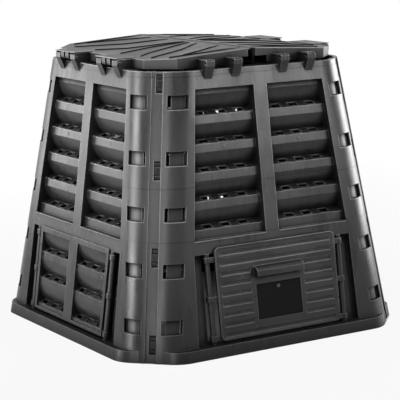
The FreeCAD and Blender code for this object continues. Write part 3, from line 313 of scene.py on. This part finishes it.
# raised ribs on the lid's top, standing in its grooves and spread like the veins of a leaf
lidRibs = {
    "lidHalf": 0.29802, "ridge": 0.786, "fall": 0.018, "ceiling": 0.7858,
    "width": 0.003, "rise": 0.0027, "root": 0.0015, "softEdge": 0.0006, "softSteps": 2,
    "branches": (  # points in shares of the lid half, away from the seam and along it
        ((0.09, -0.63), (0.23, -0.685), (0.68, -0.86)),
        ((0.08, -0.33), (0.23, -0.357), (0.52, -0.41), (0.90, -0.69)),
        ((0.10, -0.01), (0.24, -0.025), (0.67, -0.07), (0.90, -0.28)),
        ((0.10, 0.03), (0.24, 0.047), (0.51, 0.08), (0.90, 0.20)),
        ((0.10, 0.09), (0.24, 0.165), (0.72, 0.42), (0.90, 0.56)),
        ((0.09, 0.21), (0.23, 0.33), (0.44, 0.51), (0.90, 0.75)),
        ((0.08, 0.57), (0.23, 0.654), (0.40, 0.75), (0.64, 0.86)),
        ((0.05, -0.89), (0.23, -0.89), (0.80, -0.89)),
        ((0.05, 0.89), (0.23, 0.89), (0.80, 0.89)),
    ),
}
# the ribs are coloured near black and dull, as painted shade for the shade on their sides
shadedRibLook = dict(
    plainLook, dark=(0.003, 0.003, 0.0032), light=(0.006, 0.006, 0.0063), cloudScale=20.0,
    lowToneAmount=0.0, edgeHighlightWidth=0.0012, edgeHighlightAmount=0.15, specular=0.04, roughLow=0.5, roughHigh=0.65,
)


def ribSection(point):
    # where a rib stands at one point: its middle, and its height from the groove's floor to its top
    x, y = point[0] * lidRibs["lidHalf"], point[1] * lidRibs["lidHalf"]
    surface = lidRibs["ridge"] - lidRibs["fall"] * point[0]
    top = min(surface + lidRibs["rise"], lidRibs["ceiling"])
    foot = surface - lidRibs["root"]
    return Vector((x, y, (top + foot) / 2)), top - foot


def lidRib(points):
    bpy.ops.object.select_all(action="DESELECT")
    middle, tall = ribSection(points[0])
    bpy.ops.mesh.primitive_plane_add(size=1, location=middle, rotation=(0, math.pi / 2, 0))
    rib = bpy.context.object
    bpy.ops.object.transform_apply(location=True, rotation=True, scale=True)
    bpy.ops.object.mode_set(mode="EDIT")
    bpy.ops.mesh.select_all(action="SELECT")
    bpy.ops.transform.resize(value=(1, lidRibs["width"], tall), center_override=middle)
    for point in points[1:]:
        following, nextTall = ribSection(point)
        bpy.ops.mesh.extrude_region_move(TRANSFORM_OT_translate={"value": following - middle})
        bpy.ops.transform.resize(value=(1, 1, nextTall / tall), center_override=following)
        middle, tall = following, nextTall
    bpy.ops.mesh.select_all(action="SELECT")
    bpy.ops.mesh.normals_make_consistent(inside=False)
    bpy.ops.object.mode_set(mode="OBJECT")
    return rib


ribs = [lidRib(points) for points in lidRibs["branches"]]
bpy.ops.object.select_all(action="DESELECT")
for rib in ribs:
    rib.select_set(True)
bpy.context.view_layer.objects.active = ribs[0]
bpy.ops.object.join()
rightRibs = bpy.context.object
rightRibs.name = "lidRibsRight"
soften = rightRibs.modifiers.new("softEdges", "BEVEL")
soften.width = lidRibs["softEdge"]
soften.segments = lidRibs["softSteps"]
bpy.ops.object.modifier_apply(modifier=soften.name)
bpy.ops.object.shade_smooth_by_angle(angle=sharpFrom)
bpy.ops.object.transform_apply(location=True, rotation=True, scale=True)
rightRibs.data.materials.append(mouldedPlastic("lidRibShadedPlastic", shadedRibLook))
bpy.ops.object.duplicate()
leftRibs = bpy.context.object
leftRibs.name = "lidRibsLeft"
leftRibs.data.transform(Matrix.Rotation(math.pi, 4, "Z"))
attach(rightRibs, "right_lid")
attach(leftRibs, "left_lid")
print("lid ribs modelled")

# small round gate marks left by the moulding, on the walls' third strips, the vents and the door
# a place is the distance from the wall's middle, the height and the depth behind its face
gates = {
    "radius": 0.0052, "height": 0.0009, "sides": 24, "rim": 0.0016, "edge": 0.0003, "dish": 0.0005,
    "crownWidth": 0.00128, "crownRise": 0.0003, "softSteps": 2,
    "stripPlace": (0.1204, 0.538, 0.013), "ventPlace": (0.168, 0.1895, 0.001),
    "doorPlace": (0.0, 0.158, -0.0054),
}
gateLook = dict(
    plainLook, dark=(0.05, 0.051, 0.053), light=(0.09, 0.091, 0.094), cloudScale=60.0,
    hollowShadeReach=0.002, edgeHighlightWidth=0.0006, edgeRound=0.0003,
)


def gateMark(name, place, turn, body):
    bpy.ops.object.select_all(action="DESELECT")
    aside, height, depth = place
    spot = Vector((aside, depth - binHalf + wallLean * height, height))
    lean = math.atan(wallLean)
    bpy.ops.mesh.primitive_cylinder_add(
        vertices=gates["sides"], radius=gates["radius"], depth=gates["height"] * 2)
    mark = bpy.context.object
    mark.name = name
    bpy.ops.object.mode_set(mode="EDIT")
    bpy.ops.mesh.select_all(action="DESELECT")
    bpy.ops.object.mode_set(mode="OBJECT")
    for face in mark.data.polygons:
        face.select = face.normal.z > squareOn
    bpy.ops.object.mode_set(mode="EDIT")
    bpy.ops.mesh.select_mode(type="FACE")
    bpy.ops.mesh.inset(thickness=gates["rim"], depth=0)
    bpy.ops.mesh.inset(thickness=gates["edge"], depth=-gates["dish"])
    bpy.ops.mesh.inset(thickness=gates["crownWidth"], depth=gates["crownRise"])
    bpy.ops.object.mode_set(mode="OBJECT")
    bevel = mark.modifiers.new("softRim", "BEVEL")
    bevel.width = gates["edge"]
    bevel.segments = gates["softSteps"]
    bpy.ops.object.modifier_apply(modifier=bevel.name)
    facing = Matrix.Rotation(math.pi / 2 - lean, 4, "X")
    mark.data.transform(Matrix.Rotation(turn, 4, "Z") @ Matrix.Translation(spot) @ facing)
    bpy.ops.object.shade_smooth_by_angle(angle=sharpFrom)
    mark.data.materials.append(gatePlastic)
    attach(mark, body)


gatePlastic = mouldedPlastic("gateMarkPlastic", gateLook)
for kind, place, first in (("wall", gates["stripPlace"], 0), ("vent", gates["ventPlace"], 1)):
    aside, height, depth = place
    for quarter in range(first, len(wallNames)):
        for side, label in halves:
            name = kind + "GateMark" + wallNames[quarter] + label
            gateMark(name, (side * aside, height, depth), quarter * math.pi / 2, "bin")
gateMark("doorGateMark", gates["doorPlace"], 0, "door")
print("gate marks set")

# thin raised lines along the lower edges of the louvred openings
beads = {
    "inner": 0.0215, "outer": 0.245, "height": 0.3012, "tall": 0.0032, "proud": 0.0018,
    "root": 0.0014, "endTaper": (1, 0.75, 0.7), "softEdge": 0.0007, "softSteps": 3,
}
# the beads are coloured much lighter than the walls, with full edge highlight, as a painted
# highlight for the light catching them
highlightBeadLook = dict(
    plainLook, dark=(0.06, 0.06, 0.061), light=(0.15, 0.15, 0.152), cloudScale=9.0,
    hollowShadeAmount=0.3, coverAmount=0.3, lowToneAmount=0.3, edgeHighlightWidth=0.002, edgeHighlightAmount=1.0,
)


def openingBead(name, side, turn):
    bpy.ops.object.select_all(action="DESELECT")
    bpy.ops.mesh.primitive_cube_add(size=1)
    bead = bpy.context.object
    bead.name = name
    size = (beads["outer"] - beads["inner"], beads["proud"] + beads["root"], beads["tall"])
    bpy.ops.object.mode_set(mode="EDIT")
    bpy.ops.mesh.select_all(action="SELECT")
    bpy.ops.transform.resize(value=size, center_override=(0, 0, 0))
    bpy.ops.mesh.select_all(action="DESELECT")
    bpy.ops.object.mode_set(mode="OBJECT")
    for face in bead.data.polygons:
        face.select = abs(face.normal.x) > squareOn
    bpy.ops.object.mode_set(mode="EDIT")
    bpy.ops.transform.resize(value=beads["endTaper"], center_override=(0, 0, 0))
    bpy.ops.object.mode_set(mode="OBJECT")
    bevel = bead.modifiers.new("softEdges", "BEVEL")
    bevel.width = beads["softEdge"]
    bevel.segments = beads["softSteps"]
    bpy.ops.object.modifier_apply(modifier=bevel.name)
    out = (beads["proud"] - beads["root"]) / 2
    aside = side * (beads["inner"] + beads["outer"]) / 2
    spot = Vector((aside, wallLean * beads["height"] - binHalf - out, beads["height"]))
    leaning = Matrix.Rotation(-math.atan(wallLean), 4, "X")
    bead.data.transform(Matrix.Rotation(turn, 4, "Z") @ Matrix.Translation(spot) @ leaning)
    bpy.ops.object.shade_smooth_by_angle(angle=sharpFrom)
    bead.data.materials.append(beadHighlightPlastic)
    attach(bead, "bin")


beadHighlightPlastic = mouldedPlastic("beadHighlightPlastic", highlightBeadLook)
for quarter, wall in enumerate(wallNames):
    for side, label in halves:
        openingBead("openingBead" + wall + label, side, quarter * math.pi / 2)
print("opening beads modelled")

# white surroundings and six soft lamps: at the left, the near corner, the far left corner, the
# front, above and at the right
studio = {
    "skySpan": (-0.1, 0.9), "skyLow": 0.05, "skyHigh": 0.6,
    "keyPlace": (-2.7, 0.6, 0.7), "keySize": (1.0, 1.2), "keyPower": 10.5,
    "cornerPlace": (-2.2, -1.9, 0.8), "cornerSize": (1.1, 1.1), "cornerPower": 4.3,
    "rimPlace": (-1.9, 2.8, 0.75), "rimSize": (2.2, 1.1), "rimPower": 4.1,
    "fillPlace": (1.7, -2.9, 1.35), "fillSize": (1.5, 1.1), "fillPower": 4.6,
    "topPlace": (-0.4, -0.8, 2.9), "topSize": (1.6, 1.6), "topPower": 6.0,
    "backPlace": (2.9, 0.1, 0.65), "backSize": (2.2, 1.1), "backPower": 9.0,
    "aim": (0, 0, 0.78), "spread": 50.0,
}


def softBox(name, place, size, power):
    way = Vector(studio["aim"]) - Vector(place)
    turned = way.to_track_quat("-Z", "Y").to_euler()
    bpy.ops.object.light_add(type="AREA", location=place, rotation=turned)
    lamp = bpy.context.object
    lamp.name = name
    lamp.data.shape = "RECTANGLE"
    lamp.data.size, lamp.data.size_y = size
    lamp.data.energy = power
    lamp.data.spread = math.radians(studio["spread"])
    lamp.visible_camera = False


for role in ("key", "corner", "rim", "fill", "top", "back"):
    place, size, power = (studio[role + what] for what in ("Place", "Size", "Power"))
    softBox(role + "SoftBox", place, size, power)


def seenDirectly(tree):
    # camera, glossy and transmission rays see white, all others see the light itself
    path = tree.nodes.new("ShaderNodeLightPath")
    mirrored = path.outputs["Is Glossy Ray"]
    seen = addMath(tree, "MAXIMUM", path.outputs["Is Camera Ray"], mirrored)
    return addMath(tree, "MAXIMUM", seen, path.outputs["Is Transmission Ray"])


world = bpy.data.worlds.new("studioSurround")
bpy.context.scene.world = world
world.use_nodes = True
sky = world.node_tree
skyWay = sky.nodes.new("ShaderNodeSeparateXYZ")
skyCoords = sky.nodes.new("ShaderNodeTexCoord")
sky.links.new(skyCoords.outputs["Generated"], skyWay.inputs["Vector"])
height = skyWay.outputs["Z"]
skyLight = addRange(sky, height, studio["skySpan"], studio["skyLow"], studio["skyHigh"])
worldSeen = seenDirectly(sky)
skyMix = sky.nodes.new("ShaderNodeMix")
sky.links.new(worldSeen, skyMix.inputs["Factor"])
sky.links.new(skyLight, skyMix.inputs["A"])
skyMix.inputs["B"].default_value = 1.0  # white
sky.nodes["Background"].inputs["Color"].default_value = (1, 1, 1, 1)
sky.links.new(skyMix.outputs["Result"], sky.nodes["Background"].inputs["Strength"])

# pale floor: plain under the bin, whiter around it and as white as the surroundings far out
floorLook = {
    "size": 14.0, "colour": (0.62, 0.62, 0.62), "roughness": 0.85, "specular": 0.1,
    "cornerCut": 0.55, "whiteNear": 0.86, "fadeSpan": (0.6, 2.2),
}


def paleFloor():
    material, tree = newMaterial("paleFloor")
    shader = tree.nodes["Principled BSDF"]
    shader.inputs["Base Color"].default_value = (*floorLook["colour"], 1)
    shader.inputs["Roughness"].default_value = floorLook["roughness"]
    shader.inputs["Specular IOR Level"].default_value = floorLook["specular"]
    place = tree.nodes.new("ShaderNodeSeparateXYZ")
    coords = tree.nodes.new("ShaderNodeTexCoord")
    tree.links.new(coords.outputs["Object"], place.inputs["Vector"])

    # distance from the middle, in the outline of the bin's foot with its cut corners
    across = addMath(tree, "ABSOLUTE", place.outputs["X"])
    along = addMath(tree, "ABSOLUTE", place.outputs["Y"])
    reach = addMath(tree, "MAXIMUM", across, along)
    slanted = addMath(tree, "ADD", across, along)
    reach = addMath(tree, "MAXIMUM", reach, addProduct(tree, slanted, floorLook["cornerCut"]))
    outside = addMath(tree, "GREATER_THAN", reach, binHalf)
    whiteness = addRange(tree, reach, floorLook["fadeSpan"], floorLook["whiteNear"])
    whiteness = addProduct(tree, whiteness, outside)

    glow = tree.nodes.new("ShaderNodeEmission")
    glow.inputs["Color"].default_value = (1, 1, 1, 1)
    blend = tree.nodes.new("ShaderNodeMixShader")
    seen = addProduct(tree, seenDirectly(tree), whiteness)
    tree.links.new(seen, blend.inputs["Fac"])
    tree.links.new(shader.outputs["BSDF"], blend.inputs[1])
    tree.links.new(glow.outputs["Emission"], blend.inputs[2])
    tree.links.new(blend.outputs["Shader"], tree.nodes["Material Output"].inputs["Surface"])
    return material


bpy.ops.object.select_all(action="DESELECT")
bpy.ops.mesh.primitive_plane_add(size=floorLook["size"], location=(0, 0, 0))
floor = bpy.context.object
floor.name = "studioFloor"
floor.data.materials.append(paleFloor())
print("studio lit")

# long lens at about waist height, turned to the front left corner
view = {
    "place": (-2.417, -3.901, 1.179), "target": (0, 0, 0.3404), "lens": 146.64,
    "sensor": 36, "shiftX": 0.0106, "shiftY": -0.0096, "roll": -0.98, "farthest": 50,
}
bpy.ops.object.camera_add()
camera = bpy.context.object
camera.name = "photoCamera"
forward = (Vector(view["target"]) - Vector(view["place"])).normalized()
right = forward.cross(Vector((0, 0, 1))).normalized()
up = right.cross(forward)
roll = math.radians(view["roll"])
rolledRight = right * math.cos(roll) + up * math.sin(roll)
rolledUp = rolledRight.cross(forward)
axes = Matrix((rolledRight, rolledUp, -forward)).transposed().to_4x4()
camera.matrix_world = Matrix.Translation(view["place"]) @ axes
camera.data.sensor_width = view["sensor"]
camera.data.lens = view["lens"]
camera.data.shift_x = view["shiftX"]
camera.data.shift_y = view["shiftY"]
camera.data.clip_end = view["farthest"]
bpy.context.scene.camera = camera
bpy.context.scene.view_settings.view_transform = "Standard"
print("camera set")
